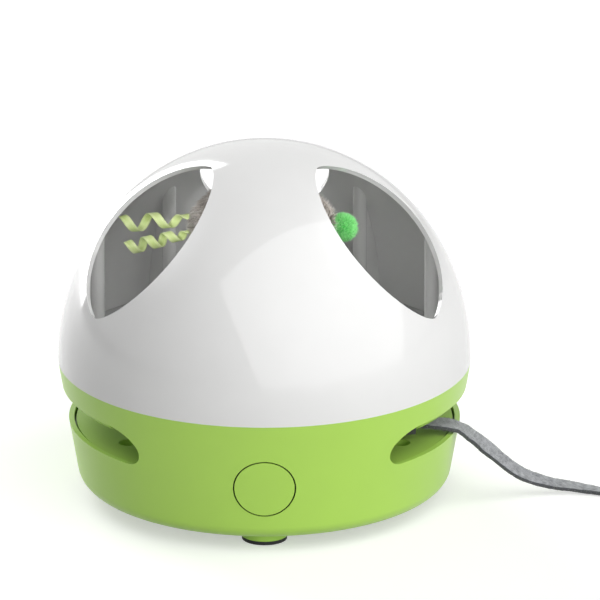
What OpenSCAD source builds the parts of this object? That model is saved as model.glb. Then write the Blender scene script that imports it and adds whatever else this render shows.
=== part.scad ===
// Hiding mouse cat toy: a white dome with three windows over a turning plush mouse, on a green base
// whose side slots let a felt tail sweep out. Millimetres, origin on the floor under the centre,
// Z up, front towards -Y. Azimuths are measured from the front towards +X.

/* [Body] */
// Diameter at the seam between dome and base
body_d = 220; // [210:1:230]
// Height of the seam above the floor
seam_z = 75; // [74:0.5:78]
// Height of the dome above the seam
dome_h = 117.5; // [115:0.5:122]
// Angle at which the crown of the dome takes over from its flank
dome_turn = 23.2; // [18:0.1:28]
// Wall thickness of the dome
dome_wall = 2.6; // [2:0.1:3.2]
// Inward lean of the base wall, in degrees
base_draft = 9.9; // [8:0.1:11]
// Wall thickness of the base
base_wall = 2.8; // [2.2:0.1:3.4]
// Height of the underside above the floor
underside_z = 7.5; // [6.5:0.1:8]
// Rounding of the bottom edge
base_edge_r = 8.5; // [7:0.5:10]

/* [Windows] */
// Number of windows round the dome
window_count = 3; // [2:1:3]
// Azimuth of the first window
window_az = 60; // [50:1:70]
// Upward tilt of a window's axis, in degrees
window_tilt = 40; // [36:1:44]
// Height on the toy's own axis where the window axes start
window_axis_z = 94; // [90:0.5:97]
// Length of a window up the dome
window_len = 101; // [90:0.5:104]
// Width of a window
window_w = 69; // [60:0.5:71]
// How much wider the upper half of a window is than the lower
window_taper = 0.02; // [0:0.01:0.2]
// Sharpness of a window's ends, 1 for an ellipse
window_point = 1.35; // [1:0.05:1.5]

/* [Dome posts] */
// Distance of the screw posts in from the seam's edge
post_in = 21; // [18:0.5:23]
// Diameter of a screw post
post_d = 7.5; // [6:0.5:9]
// Azimuth of a post from the middle of its window
post_az = 35; // [34:0.5:38]

/* [Tail slots] */
// Height of the sill of the side slots
slot_sill_z = 42; // [41:0.5:43]
// Height of a slot
slot_h = 19.5; // [18:0.5:20]
// Azimuth of the front end of a slot
slot_az = 38; // [36:1:44]
// Depth of the deck below the sill
deck_drop = 1; // [0.6:0.1:1.5]
// Thickness of the deck and of the dome floor
deck_t = 2.5; // [2:0.1:3]
// Gap round the edge of the deck
deck_gap = 0.6; // [0.4:0.1:1]
// Distance of the deck screws in from the seam's edge
deck_screw_in = 27; // [25:0.5:29]
// Azimuth of the front deck screws
deck_screw_az = 61; // [60:1:66]
// Diameter of a deck screw's well
deck_well_d = 9.5; // [8:0.5:11]

/* [Feet and cover] */
// Diameter of a foot
foot_d = 25; // [20:1:27]
// Thickness of a foot's rubber pad
pad_t = 2.2; // [1.5:0.1:3]
// Thickness of the bottom cover
cover_t = 2.5; // [2.2:0.1:3]
// Width of the lip that holds the bottom cover
cover_lip = 3.5; // [3:0.5:5]
// Width of a pry notch in the bottom edge
notch_w = 3; // [2:0.5:4]

/* [Power button] */
// Diameter of the button's hole in the front wall
button_hole_d = 33.4; // [30:0.2:35]
// Gap round the button
button_gap = 0.8; // [0.3:0.05:1]
// Height of the button's middle
button_z = 38; // [36:0.5:39]
// Travel of the button
button_travel = 1.8; // [1:0.1:2]

/* [Drive] */
// Tooth module of the gears
gear_module = 0.9; // [0.8:0.05:1]
// Teeth of a driven gear
gear_teeth = 42; // [36:2:46]
// Teeth of a motor pinion
pinion_teeth = 14; // [14:2:16]
// Face width of the gears
gear_t = 3; // [2.5:0.1:3.2]
// Tooth thinning for backlash
backlash = 0.25; // [0.15:0.01:0.3]
// Diameter of a motor can
motor_d = 24; // [20:0.5:25]
// Height of a motor can
motor_h = 15; // [12:0.5:15.4]
// Diameter of the mouse shaft
shaft_d = 6; // [5:0.1:6.5]
// Diameter of the tail hub's tube
hub_d = 14; // [12:0.5:16]
// Radial clearance of a running fit
run_clear = 0.05; // [0.03:0.01:0.08]

/* [Battery and electronics] */
// Diameter of a cell
cell_d = 14.5; // [13.8:0.1:14.6]
// Length of a cell
cell_l = 50.5; // [48:0.5:51]
// Diameter of the speaker
speaker_d = 36; // [30:1:38]

/* [Plush mouse] */
// Distance of the mouse's middle below the dome's top
mouse_drop = 43.5; // [41:0.5:46]
// Length of the body from rump to snout
mouse_l = 74; // [70:1:78]
// Width of the body
mouse_w = 44; // [38:1:48]
// Height of the body
mouse_h = 45; // [40:1:48]
// Diameter of the pompom nose
nose_d = 14; // [10:0.5:16]
// Length of an ear
ear_l = 19; // [14:1:22]
// Width of the curled ribbons
ribbon_w = 4.6; // [3:0.1:5]

/* [Felt tail] */
// Width of the felt at its root
tail_w = 12; // [9:0.5:12.5]
// Thickness of the felt
tail_t = 2.6; // [2:0.1:3]

/* [Hidden] */
$fn = 96;
eps = 0.01;
far = 400;
body_r = body_d / 2;
base_green = "#A6DA5E";
shade_green = "#93C64F";
dome_white = "#F4F4F2";
inner_grey = "#8C8C8C";
steel = "#B9BCC0";
board_green = "#2F6B3C";

// Fits that several pieces share
seat_clear = 0.3;
screw_d = 2.6;
screw_pilot_d = screw_d + 2 * run_clear;
screw_hole_d = 3.2;
screw_head_d = 5;
screw_head_h = 1.6;
pilot_spare = 1;

// Heights from the floor up
cover_top = underside_z + cover_t;
flange_t = 2.5;
flange_top = cover_top + flange_t;
deck_top = slot_sill_z - deck_drop;
deck_z = deck_top - deck_t;
ledge_t = 2.5;
floor_z = seam_z;
floor_top = floor_z + deck_t;

// Base wall
function wall_r(z) = body_r - tan(base_draft) * (seam_z - z);
function inner_r(z) = wall_r(z) - base_wall / cos(base_draft);
edge_z = underside_z + base_edge_r;
edge_r = wall_r(edge_z) - base_edge_r / cos(base_draft);
cover_r = edge_r - cover_lip;
deck_r = inner_r(deck_z) - deck_gap;
slot_crest = slot_sill_z + slot_h;
slot_half = wall_r(slot_sill_z) * cos(slot_az);
slot_sweep = 14;
slot_heel = 7;
slot_nose_h = 0.44 * slot_h;
slot_steps = 10;
slot_inside = 50;
slot_lip_h = 3.5;
lip_proud = 0.4;
deck_ledge_w = 4;
spigot_t = 2.4;
floor_lip_t = 1;
spigot_h = deck_t - floor_lip_t - seat_clear;
spigot_root = 5;
seam_clear = 0.4;
spigot_r = body_r - dome_wall - seam_clear;
floor_r = spigot_r - spigot_t - seam_clear;
floor_ledge_w = 5;
post_r = body_r - post_in;
floor_ledge_r = max(floor_r - floor_ledge_w, post_r + screw_head_d / 2 + seat_clear);

// Deck screws, their wells and the posts of the housing under them
well_wall = 1;
well_depth = 5;
well_base = 1.2;
deck_post_d = 9;
deck_screw_r = body_r - deck_screw_in;
deck_post_top = deck_top - well_depth - well_base;
deck_screw_l = 9;
deck_screws_az = [deck_screw_az, -deck_screw_az, 180 - deck_screw_az, deck_screw_az - 180];
flange_r = deck_screw_r - deck_post_d / 2 - 1;

// Cover screws and feet
cover_screws_az = [40, -40, 140, -140];
cover_post_d = 7;
cover_screw_r = flange_r + cover_post_d / 2;
cover_post_h = 8;
cover_sink = 1.5;
cover_screw_l = cover_t - cover_sink + cover_post_h - 2 * pilot_spare;
feet_az = [0, 120, 240];
foot_margin = 1;
pad_margin = 0.5;
foot_r = cover_r - foot_d / 2 - foot_margin;
notches_az = [37, -37];

// Dome arcs: both have the seam's plane or the axis as a normal, and they meet where they lean the same
flank_off = (dome_h - body_r) / (1 + tan(dome_turn) - 1 / cos(dome_turn));
flank_r = body_r + flank_off;
crown_off = flank_off * tan(dome_turn);
crown_r = dome_h - crown_off;
crown_start = flank_off > 0 ? [0, crown_off] : [-flank_off, 0];
crown_edge = crown_start + far * [cos(dome_turn), sin(dome_turn)];
function dome_r(h) = sqrt(pow(crown_r, 2) - pow(h - crown_off, 2)) - dome_wall;

// Windows and the posts either side of them
window_sides = 60;
window_start = body_r / 2;
windows_az = [for (i = [0 : window_count - 1]) window_az + i * 360 / window_count];
posts_az = [for (a = windows_az, side = [-1, 1]) a + side * post_az];
post_pilot_depth = 12;
post_web_t = 1.6;
post_web_z = floor_top + 3;
dome_screw_l = 10;

// Drive stack, hung under the deck
hub_boss_wall = 3;
hub_boss_low = 1;
hub_boss_high = 2;
axial_gap = 0.4;
gear_gap = 0.8;
tail_gear_z = deck_z - hub_boss_low - axial_gap - gear_t;
mouse_gear_z = tail_gear_z - gear_gap - gear_t;
bush_flange_t = 0.5;
bush_wall = 2;
bush_flange_w = 1.5;
plate_t = 2.5;
plate_top = mouse_gear_z - seat_clear - bush_flange_t;
plate_z = plate_top - plate_t;
plate_boss_h = 2.5;
plate_boss_wall = 3;
plate_corner_r = 4;
bush_d = shaft_d + 2 * run_clear + 2 * bush_wall;
gear_distance = gear_module * (gear_teeth + pinion_teeth) / 2;
pressure_angle = 20;
addendum = 0.8;
dedendum = 1.1;
motor_ear_y = motor_d / 2 + 2.2;
motor_ear_w = 7;
motor_ear_t = 1;
motor_boss_d = 7;
motor_boss_h = 2;
motor_screw_head_d = 3.6;
motor_screw_short = 0.5;
pinion_shaft_d = 2.5;
pinion_shaft_depth = 7;
hang_post_d = 8;
hang_post_x = gear_distance + motor_d / 2 + 1;
hang_post_y = 11;
plate_margin = 5;
plate_half_y = motor_ear_y + 2.3;
hub_bore_d = shaft_d + 1.4;
collar_z = deck_top + hub_boss_high + axial_gap;
collar_wall = 4;
collar_h = 7.5;
retainer_t = 1.2;
retainer_wall = 2.5;
hub_top = collar_z + collar_h + retainer_t + 1;
shaft_low = plate_z - plate_boss_h - 1;
floor_boss_wall = 4;
floor_boss_d = bush_d + 2 * floor_boss_wall;
floor_boss_h = 4.5;
shaft_clip_t = 1;
shaft_clip_wall = 3;

// Tail route, from the clip on the arm over the sill and down to the floor
tail_route = [[68, -31, 48], [73, -30, 48], [80, -28.5, 47.8], [86, -27.4, 47.4], [93, -26.2, 46.6],
    [99, -25, 45.4], [102.6, -24, 43.9], [106, -23.2, 41.7], [109.4, -22.5, 39], [112.7, -21.5, 36],
    [116.1, -20.5, 32.9], [122.9, -18.5, 26.4], [129.7, -16, 19.5], [136.5, -13.5, 14],
    [143.2, -11, 10.1], [153.4, -8.5, 6.2], [163.6, -7.2, 4.1], [173.7, -7.6, 2.5], [180, -9.5, 1.9],
    [188, -13, 1.8], [196, -17, 1.8]];
tail_taper = 0.65;
tail_roll = 10;
tail_roll_from = 2;
tail_roll_over = 3;
tail_sides = 8;
clip_at = tail_route[1];
clip_turn = 12;
clip_l = 12;
clip_wall = 1.8;
clip_corner_r = 1;
clip_inner_w = tail_w + 2 * seat_clear;
clip_inner_h = tail_t + 2 * seat_clear;
arm_w = 8;
arm_rib_drop = 1;
arm_az = atan2(clip_at[0], -clip_at[1]);
arm_reach = norm([clip_at[0], clip_at[1]]);
arm_low = clip_at[2] - clip_inner_h / 2 - clip_wall;

// Button and switch, along the inward normal of the front wall
button_d = button_hole_d - 2 * button_gap;
guide_wall = 2;
guide_l = 9;
skirt_wall = 1.8;
flange_w = 2.2;
button_flange_t = 1.5;
button_flange_d = button_d + 2 * flange_w;
button_stem_d = 6;
button_weld = 0.6;
button_stem_end = guide_l + seat_clear + button_flange_t + 0.2;
switch_z = button_stem_end + button_travel + 2.2;
switch_w = 12;
switch_h = 5;
switch_floor = 0.8;
plunger_d = 5.6;
plunger_l = switch_z - button_stem_end + 2;
board_t = 1.6;
board_z = switch_z + switch_h;
board_post_d = 6;
board_pilot_depth = 7;
board_corner_r = 2;
board_post_x = button_flange_d / 2 + board_post_d / 2 + 2;
board_half_w = board_post_x + 4;
board_half_h = 10;
deck_notch_x = board_half_w + 1.5;
deck_notch_y = wall_r(button_z) - (board_z + board_t + screw_head_h) * cos(base_draft) - 2;

// Battery box on the bottom cover
cell_count = 3;
cell_play = 0.4;
contact_room = 4;
box_wall = 1.8;
box_y = plate_half_y + 1.5;
box_in_x = cell_l / 2 + contact_room;
box_in_y = cell_count * (cell_d + cell_play);
door_t = 1.8;
door_land = 2.5;
door_top = underside_z + door_t;
cell_z = door_top + cell_play / 2 + cell_d / 2;
box_top = door_top + cell_d + cell_play + box_wall;
box_mid_y = box_y + box_wall + box_in_y / 2;
door_half_y = box_in_y / 2 + box_wall + door_land;
door_tongue_d = 9;
door_corner_r = 3;
door_screw_y = box_mid_y + door_half_y + 1;
door_screw_post_h = 6;

// Speaker and control board, either side of the front
speaker_frame_t = 2;
speaker_ring_wall = 1.5;
speaker_az = 53;
speaker_margin = 1;
speaker_r = flange_r - speaker_d / 2 - seat_clear - speaker_ring_wall - speaker_margin;
speaker_at = polar(speaker_r, speaker_az, 0);
speaker_ring_up = 1;
sound_holes = 6;
sound_hole_d = 3;
board_size = [34, 24];
board_margin = 5;
board_az = -54;
board_at = polar(flange_r - norm(board_size) / 2 - board_margin, board_az, 0);
board_standoff = 4;
board_screw_off = [13.5, 8.5];

// Mouse and its stem
mouse_z = seam_z + dome_h - mouse_drop;
snout_share = 0.485;
snout_x = mouse_l * snout_share;
rump_x = snout_x - mouse_l;
belly = 0.9;
body_rings = 14;
body_sides = 18;
body_swell = 0.893;
body_blunt = 0.52;
mouse_peg_d = 8;
mouse_peg_h = 12;
seat_depth = 4;
seat_margin = 0.5;
saddle_d = 24;
saddle_t = 2.4;
saddle_top = mouse_z - belly * mouse_h / 2 - seat_clear;
stem_z = floor_top + bush_flange_t + axial_gap + shaft_clip_t + 2;
stem_d = 12;
stem_top_d = 9;
stem_socket_top = saddle_top - saddle_t - 3;
ear_x = 3;
ear_tilt = 50;
ear_t = 1.4;
ear_fold = 38;
ear_sink = 1;
ear_crease = [-0.5, 0.5, 0.7];
ear_opening = [0.45, 0.8, -0.2];
eye_d = 5;
eye_x = 21;
eyes_at = [18, 162];
nose_set = 0.42;
nose_drop = 1;
ribbon_t = 0.6;
ribbon_rings = 14;
curl_root = 0.25;
curl_open = 0.6;
ribbon_root_share = 0.3;
ribbon_widen = 0.12;
ribbon_set = 0.4;
ribbon_root = rump_x + ribbon_set;
upper_start = [ribbon_root, 2.5, mouse_z + 3];
ribbon_in = 9;
ribbon_short = 3;
ribbon_drop = 11;
ribbon_reach = dome_r(mouse_z - seam_z) - ribbon_in;
upper_end = [-ribbon_reach, 3, mouse_z];
upper_radius = 4.4;
upper_curls = 2.25;
lower_start = [ribbon_root, -2.5, mouse_z - 3];
lower_end = [ribbon_short - ribbon_reach, -4, mouse_z - ribbon_drop];
lower_radius = 3.6;
lower_curls = 3.25;

// A point at a radius, an azimuth and a height
function polar(r, az, z) = [r * sin(az), -r * cos(az), z];

// Puts children at a radius and an azimuth, with their -Y outwards
module at(r, az, z = 0) {
    translate(polar(r, az, z))
        rotate(az)
            children();
}

// Puts children on the front wall with their +Z along the inward normal
module at_button() {
    translate([0, -wall_r(button_z), button_z])
        rotate([base_draft - 90, 0, 0])
            children();
}

// A tube standing on z = 0
module tube(d, bore, h) {
    difference() {
        cylinder(d = d, h = h);
        translate([0, 0, -eps]) cylinder(d = bore, h = h + 2 * eps);
    }
}

// A rectangle about the origin with round corners
module rounded(w, l, r) {
    square([w - 2 * r, l], center = true);
    square([w, l - 2 * r], center = true);
    for (x = [-1, 1], y = [-1, 1]) translate([x * (w / 2 - r), y * (l / 2 - r)]) circle(r);
}

// A pan-head screw, head on top of z = 0 and shank below it
module screw(length, head = screw_head_d) {
    cylinder(d = head, h = screw_head_h);
    translate([0, 0, -length]) cylinder(d = screw_d, h = length + eps);
}

// Section of the base, drawn in by inset
module base_section(inset) {
    r = base_edge_r - inset;
    translate([edge_r, edge_z]) circle(r);
    polygon([[0, edge_z - r], [edge_r, edge_z - r],
        [edge_r + r * cos(base_draft), edge_z - r * sin(base_draft)],
        [body_r - inset / cos(base_draft), seam_z], [0, seam_z]]);
}

// Section of the dome, drawn in by inset
module dome_section(inset) {
    translate([0, seam_z]) {
        intersection() {
            translate([-flank_off, 0]) circle(flank_r - inset, $fn = 180);
            polygon([[0, 0], crown_start, crown_edge, [far, 0]]);
        }
        intersection() {
            translate([0, crown_off]) circle(crown_r - inset, $fn = 180);
            polygon([crown_start, crown_edge, [0, far], [0, 0]]);
        }
    }
}

// Egg outline of a window about its middle, larger end up
module window_outline() {
    polygon([for (i = [0 : window_sides - 1])
        let (a = 360 * i / window_sides,
            half = window_w / 2 * pow(abs(cos(a)), window_point) * (1 + window_taper * sin(a)))
        [sign(cos(a)) * half, window_len / 2 * sin(a)]]);
}

// Space of the windows through the dome
module window_cuts() {
    for (a = windows_az)
        rotate(a)
            translate([0, 0, window_axis_z])
                rotate([90 - window_tilt, 0, 0])
                    translate([0, 0, window_start])
                        linear_extrude(body_r) window_outline();
}

// Outline of a side slot seen from the side, with a short round heel and a long sweep above it
module slot_outline() {
    foot = slot_half - slot_heel;
    head = slot_half - slot_sweep;
    rise = slot_h - slot_nose_h;
    end = concat(
        [for (i = [0 : slot_steps]) let (a = 90 * i / slot_steps)
            [foot + slot_heel * sin(a), slot_nose_h * (1 - cos(a))]],
        [for (i = [1 : slot_steps]) let (a = 90 * i / slot_steps)
            [head + slot_sweep * cos(a), slot_nose_h + rise * sin(a)]]);
    polygon(concat(end, [for (i = [len(end) - 1 : -1 : 0]) [-end[i][0], end[i][1]]]));
}

// Space of both side slots
module slot_cuts() {
    for (side = [-1, 1])
        translate([side * body_r, 0, slot_sill_z])
            rotate([90, 0, -90 * side])
                linear_extrude(body_r - slot_inside) slot_outline();
}

// Lip that slopes down inwards under the top edge of a slot
module slot_lip() {
    turn = acos((slot_half - slot_sweep) / wall_r(slot_crest));
    rotate(turn - 90)
        rotate_extrude(angle = 180 - 2 * turn)
            polygon([[inner_r(slot_crest - slot_lip_h) - lip_proud, slot_crest - slot_lip_h],
                [wall_r(slot_crest) - lip_proud, slot_crest - lip_proud / 2],
                [wall_r(slot_crest) - lip_proud, slot_crest + lip_proud],
                [inner_r(slot_crest - slot_lip_h) - lip_proud, slot_crest + lip_proud]]);
}

// Outline of a spur gear with a tooth on +X
function involute(a) = tan(a) * 180 / PI - a;
function tooth_half(teeth, r) =
    let (pitch = gear_module * teeth / 2, base = pitch * cos(pressure_angle))
    90 / teeth - backlash * 90 / (PI * pitch)
    + involute(pressure_angle) - involute(acos(min(1, base / max(r, base))));
module gear_outline(teeth) {
    pitch = gear_module * teeth / 2;
    base = pitch * cos(pressure_angle);
    root = pitch - dedendum * gear_module;
    tip = pitch + addendum * gear_module;
    flank = [root, max(base, root) + 0.1 * gear_module, pitch, (pitch + tip) / 2, tip];
    steps = [0 : len(flank) - 1];
    polygon([for (i = [0 : teeth - 1], side = [-1, 1], k = steps)
        let (r = flank[side < 0 ? k : len(flank) - 1 - k],
            a = i * 360 / teeth + side * tooth_half(teeth, r))
        [r * cos(a), r * sin(a)]]);
}

// A closed skin through rings of points; the diagonals of opposite sides run the same way, so that a
// thin twisted strip keeps its thickness
module loft(rings) {
    sides = len(rings[0]);
    last = len(rings) - 1;
    start = last * sides;
    points = [for (ring = rings, p = ring) p];
    walls = [for (k = [0 : last - 1], i = [0 : sides - 1])
        let (a = k * sides + i, b = k * sides + (i + 1) % sides)
        each i < sides / 2
            ? [[a, a + sides, b + sides], [a, b + sides, b]]
            : [[a, a + sides, b], [a + sides, b + sides, b]]];
    caps = [for (i = [1 : sides - 2]) each [[0, i, i + 1], [start, start + i + 1, start + i]]];
    polyhedron(points, concat(walls, caps));
}
function unit(v) = v / norm(v);

// Lower shell with the side slots, the deck posts and the guide of the button
module base_housing() {
    deck_ledge_r = inner_r(deck_z) - deck_ledge_w;
    ledge_az = asin(deck_notch_x / deck_ledge_r);
    ledge_z = floor_z - ledge_t;
    color(base_green)
    difference() {
        union() {
            difference() {
                rotate_extrude() {
                    difference() {
                        base_section(0);
                        base_section(base_wall);
                        square([cover_r + seat_clear, cover_top]);
                        square([flange_r, flange_top]);
                    }
                    intersection() {
                        base_section(base_wall / 2);
                        union() {
                            translate([flange_r, cover_top]) square([far, flange_t]);
                            translate([floor_ledge_r, ledge_z]) square([far, ledge_t]);
                            translate([spigot_r - spigot_t, seam_z - spigot_root]) square([far, spigot_root]);
                        }
                    }
                    translate([spigot_r - spigot_t, seam_z - eps]) square([spigot_t, spigot_h + eps]);
                }
                slot_cuts();
            }
            slot_lip();
            mirror([1, 0, 0]) slot_lip();
            rotate(ledge_az - 90)
                rotate_extrude(angle = 360 - 2 * ledge_az)
                    intersection() {
                        base_section(base_wall / 2);
                        translate([deck_ledge_r, deck_z - ledge_t]) square([far, ledge_t]);
                    }
            intersection() {
                rotate_extrude() base_section(base_wall / 2);
                union() {
                    at_button() {
                        cylinder(d = button_hole_d + 2 * guide_wall, h = guide_l);
                        for (x = [-1, 1])
                            translate([x * board_post_x, 0, 0]) cylinder(d = board_post_d, h = board_z);
                    }
                    for (az = deck_screws_az)
                        at(deck_screw_r, az, cover_top)
                            cylinder(d = deck_post_d, h = deck_post_top - cover_top);
                    for (az = cover_screws_az)
                        at(cover_screw_r, az, cover_top) cylinder(d = cover_post_d, h = cover_post_h);
                }
            }
        }
        at_button() {
            translate([0, 0, -base_wall]) cylinder(d = button_hole_d, h = guide_l + base_wall + eps);
            for (x = [-1, 1])
                translate([x * board_post_x, 0, board_z - board_pilot_depth])
                    cylinder(d = screw_pilot_d, h = board_pilot_depth + eps);
        }
        for (az = deck_screws_az)
            at(deck_screw_r, az, deck_post_top - deck_screw_l - pilot_spare)
                cylinder(d = screw_pilot_d, h = deck_screw_l + pilot_spare + eps);
        for (az = cover_screws_az)
            at(cover_screw_r, az, cover_top - eps)
                cylinder(d = screw_pilot_d, h = cover_post_h - pilot_spare);
        translate([0, box_mid_y, cover_top - eps])
            linear_extrude(box_top - cover_top) box_outline(seat_clear);
        translate([0, door_screw_y, cover_top - eps])
            cylinder(d = cover_post_d + 2 * seat_clear, h = door_screw_post_h + seat_clear);
        for (az = notches_az)
            at(cover_r, az, underside_z)
                rotate([90, 0, 0]) cylinder(d = notch_w, h = base_edge_r + cover_lip);
    }
}

// Bottom plate with the feet, the battery box and the seats of the speaker and the control board
module bottom_cover() {
    color(base_green)
    difference() {
        union() {
            translate([0, 0, underside_z]) cylinder(r = cover_r, h = cover_t);
            for (az = feet_az) at(foot_r, az, pad_t) cylinder(d = foot_d, h = underside_z - pad_t + eps);
            translate([0, box_mid_y, underside_z]) linear_extrude(box_top - underside_z) box_outline(0);
            translate([0, door_screw_y, cover_top - eps]) cylinder(d = cover_post_d, h = door_screw_post_h);
            translate([speaker_at[0], speaker_at[1], cover_top - eps])
                tube(speaker_d + 2 * (seat_clear + speaker_ring_wall), speaker_d + 2 * seat_clear,
                    speaker_frame_t + speaker_ring_up);
            for (x = [-1, 1], y = [-1, 1])
                translate([board_at[0] + x * board_screw_off[0], board_at[1] + y * board_screw_off[1],
                    cover_top - eps])
                    cylinder(d = board_post_d, h = board_standoff + eps);
        }
        translate([0, 0, underside_z - eps]) linear_extrude(door_t + eps) door_outline(seat_clear);
        translate([-box_in_x, box_y + box_wall, underside_z])
            cube([2 * box_in_x, box_in_y, box_top - box_wall - underside_z]);
        translate([0, door_screw_y, door_top - eps]) cylinder(d = screw_pilot_d, h = door_screw_post_h);
        for (az = cover_screws_az) at(cover_screw_r, az, underside_z) {
            translate([0, 0, -eps]) cylinder(d = screw_hole_d, h = cover_t + 2 * eps);
            translate([0, 0, -eps]) cylinder(d = screw_head_d + 2 * seat_clear, h = cover_sink + eps);
        }
        for (x = [-1, 1], y = [-1, 1])
            translate([board_at[0] + x * board_screw_off[0], board_at[1] + y * board_screw_off[1],
                cover_top])
                cylinder(d = screw_pilot_d, h = board_standoff + eps);
        for (i = [0 : sound_holes])
            translate([speaker_at[0], speaker_at[1], underside_z - eps])
                rotate(i * 360 / sound_holes)
                    translate([i < sound_holes ? speaker_d / 4 : 0, 0, 0])
                        cylinder(d = sound_hole_d, h = cover_t + 2 * eps);
    }
}

// Outline of the battery box, grown by a clearance
module box_outline(grow) {
    rounded(2 * (box_in_x + box_wall + grow), box_in_y + 2 * (box_wall + grow), box_wall + grow);
}

// Outline of the battery door with its screw tongue, grown by a clearance
module door_outline(grow) {
    translate([0, box_mid_y])
        rounded(2 * (box_in_x + box_wall + door_land + grow), 2 * (door_half_y + grow),
            door_corner_r + grow);
    translate([0, door_screw_y]) circle(d = door_tongue_d + 2 * grow);
}

// Rubber pads under the feet
module foot_pads() {
    color("#2B2B2B")
    for (az = feet_az) at(foot_r, az) cylinder(d = foot_d - 2 * pad_margin, h = pad_t);
}

// Screws that hold the bottom cover
module cover_screws() {
    color(steel)
    for (az = cover_screws_az)
        at(cover_screw_r, az, underside_z + cover_sink) mirror([0, 0, 1]) screw(cover_screw_l);
}

// Battery door, flush with the underside
module battery_door() {
    grip_d = 1.2;
    grip_l = 20;
    grip_pitch = 2.5;
    grip_in = 6;
    color(shade_green)
    difference() {
        translate([0, 0, underside_z]) linear_extrude(door_t) door_outline(0);
        translate([0, door_screw_y, underside_z - eps]) cylinder(d = screw_hole_d, h = door_t + 2 * eps);
        for (i = [-2 : 2])
            translate([-grip_l / 2, box_mid_y - door_half_y + grip_in + grip_pitch * i, underside_z])
                rotate([0, 90, 0]) cylinder(d = grip_d, h = grip_l);
    }
}

// Screw of the battery door
module battery_door_screw() {
    color(steel)
    translate([0, door_screw_y, underside_z])
        mirror([0, 0, 1]) screw(door_t + door_screw_post_h - 2 * pilot_spare);
}

// Three cells side by side, the middle one turned round
module battery_cells() {
    tip_d = 5.5;
    tip_l = 1;
    color("#4A4F57")
    for (i = [0 : cell_count - 1])
        translate([0, box_y + box_wall + (i + 0.5) * (cell_d + cell_play), cell_z])
            rotate([0, i % 2 == 0 ? 90 : -90, 0]) {
                translate([0, 0, -cell_l / 2]) cylinder(d = cell_d, h = cell_l - tip_l);
                translate([0, 0, cell_l / 2 - tip_l - eps]) cylinder(d = tip_d, h = tip_l + eps);
            }
}

// Contact plates with a raised button, two for each cell
module battery_contacts() {
    plate = 9;
    plate_thick = 0.5;
    button = 6;
    button_top = 4;
    color(steel)
    for (i = [0 : cell_count - 1], side = [-1, 1])
        translate([side * box_in_x, box_y + box_wall + (i + 0.5) * (cell_d + cell_play), cell_z])
            rotate([0, -90 * side, 0]) {
                translate([-plate / 2, -plate / 2, 0]) cube([plate, plate, plate_thick]);
                translate([0, 0, plate_thick - eps])
                    cylinder(d1 = button, d2 = button_top, h = contact_room - plate_thick - seat_clear);
            }
}

// Loudspeaker: frame, basket and magnet
module speaker() {
    basket_h = 4;
    basket_rim = 2;
    magnet_d = speaker_d / 2;
    magnet_h = 4;
    cone_rim = 3;
    cone_depth = speaker_frame_t + basket_h / 2;
    color("#3A3A3C")
    translate([speaker_at[0], speaker_at[1], cover_top]) {
        difference() {
            union() {
                cylinder(d = speaker_d, h = speaker_frame_t);
                translate([0, 0, speaker_frame_t - eps])
                    cylinder(d1 = speaker_d - 2 * basket_rim, d2 = magnet_d + 2 * basket_rim, h = basket_h);
                translate([0, 0, speaker_frame_t + basket_h - 2 * eps])
                    cylinder(d = magnet_d, h = magnet_h);
            }
            translate([0, 0, -eps])
                cylinder(d1 = speaker_d - 2 * cone_rim, d2 = speaker_d / 3, h = cone_depth);
        }
    }
}

// Control board with its chip, capacitor and connector
module control_board() {
    chip = [10, 10, 1.6];
    chip_at = [-4, -5, board_t - eps];
    capacitor_d = 6;
    capacitor_h = 7;
    capacitor_at = [-8, 6, board_t - eps];
    plug = [8, 4, 5];
    plug_at = [3, 0.5 - board_size[1] / 2, board_t - eps];
    color(board_green)
    translate([board_at[0], board_at[1], cover_top + board_standoff])
        difference() {
            union() {
                linear_extrude(board_t) rounded(board_size[0], board_size[1], board_corner_r);
                translate(chip_at) cube(chip);
                translate(capacitor_at) cylinder(d = capacitor_d, h = capacitor_h);
                translate(plug_at) cube(plug);
            }
            for (x = [-1, 1], y = [-1, 1])
                translate([x * board_screw_off[0], y * board_screw_off[1], -eps])
                    cylinder(d = screw_hole_d, h = board_t + 2 * eps);
        }
}

// Screws of the control board
module control_board_screws() {
    color(steel)
    for (x = [-1, 1], y = [-1, 1])
        translate([board_at[0] + x * board_screw_off[0], board_at[1] + y * board_screw_off[1],
            cover_top + board_standoff + board_t])
            screw(board_t + board_standoff - pilot_spare);
}

// Deck under the tail, with screw wells, the hub boss and the posts that carry the drive plate
module slot_deck() {
    color(shade_green)
    difference() {
        union() {
            translate([0, 0, deck_z]) cylinder(r = deck_r, h = deck_t);
            for (az = deck_screws_az)
                at(deck_screw_r, az, deck_post_top)
                    cylinder(d = deck_well_d + 2 * well_wall, h = deck_z - deck_post_top + eps);
            translate([0, 0, deck_z - hub_boss_low])
                cylinder(d = hub_d + 2 * (run_clear + hub_boss_wall),
                    h = hub_boss_low + deck_t + hub_boss_high);
            for (x = [-1, 1], y = [-1, 1])
                translate([x * hang_post_x, y * hang_post_y, plate_top])
                    cylinder(d = hang_post_d, h = deck_z - plate_top + eps);
        }
        translate([0, 0, deck_z - hub_boss_low - eps])
            cylinder(d = hub_d + 2 * run_clear, h = hub_boss_low + deck_t + hub_boss_high + 2 * eps);
        for (az = deck_screws_az)
            at(deck_screw_r, az, deck_post_top) {
                translate([0, 0, well_base]) cylinder(d = deck_well_d, h = well_depth + eps);
                translate([0, 0, -eps]) cylinder(d = screw_hole_d, h = well_base + 2 * eps);
            }
        for (x = [-1, 1], y = [-1, 1])
            translate([x * hang_post_x, y * hang_post_y, plate_top - eps])
                cylinder(d = screw_pilot_d, h = deck_z - plate_top);
        translate([-deck_notch_x, -body_r, deck_z - eps])
            cube([2 * deck_notch_x, body_r - deck_notch_y, deck_t + 2 * eps]);
    }
}

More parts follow.
